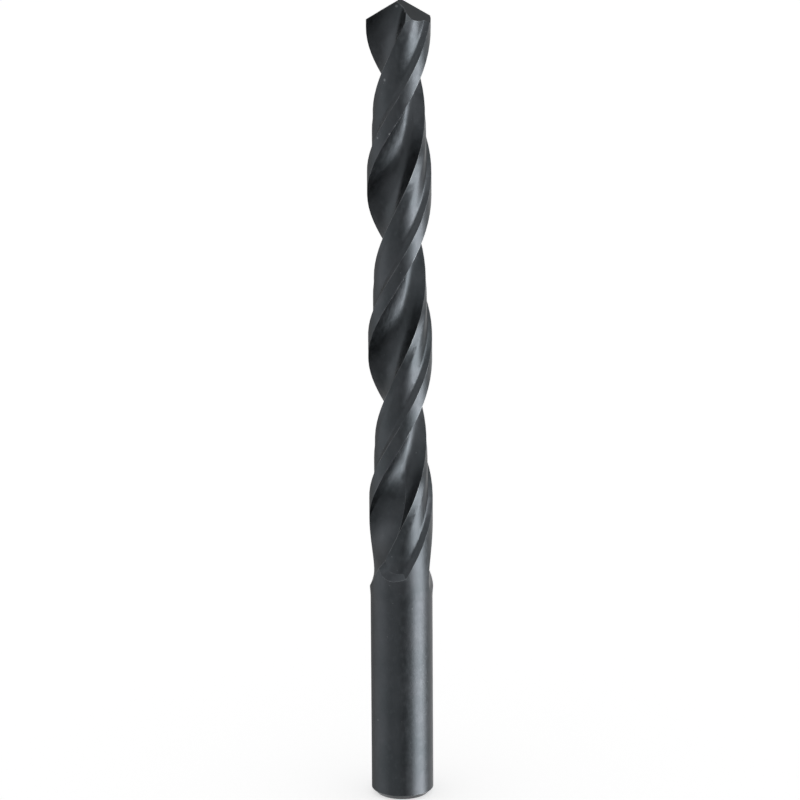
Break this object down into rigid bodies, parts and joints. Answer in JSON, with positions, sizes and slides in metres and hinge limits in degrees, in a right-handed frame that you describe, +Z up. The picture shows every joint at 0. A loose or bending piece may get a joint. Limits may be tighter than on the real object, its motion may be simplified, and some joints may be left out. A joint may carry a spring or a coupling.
{
  "type": "twist drill bit",
  "caption": "Right-hand twist drill with long helical flutes, ground margins, a conical point and a plain straight shank for a drill chuck",
  "frame": {"origin": "centre of the shank's flat end face", "axes": "+Z runs up the drill's axis from the shank's end to the point; +X is parallel to the two lips at the point; +Y completes the right-handed frame"},
  "size_m": [0.01, 0.01, 0.13],
  "materials": {
    "high_speed_steel": "satin black oxide over ground steel, worn brighter on the edges"
  },
  "bodies": {
    "root": {"twist_drill": "high_speed_steel"}
  },
  "joints": []
}
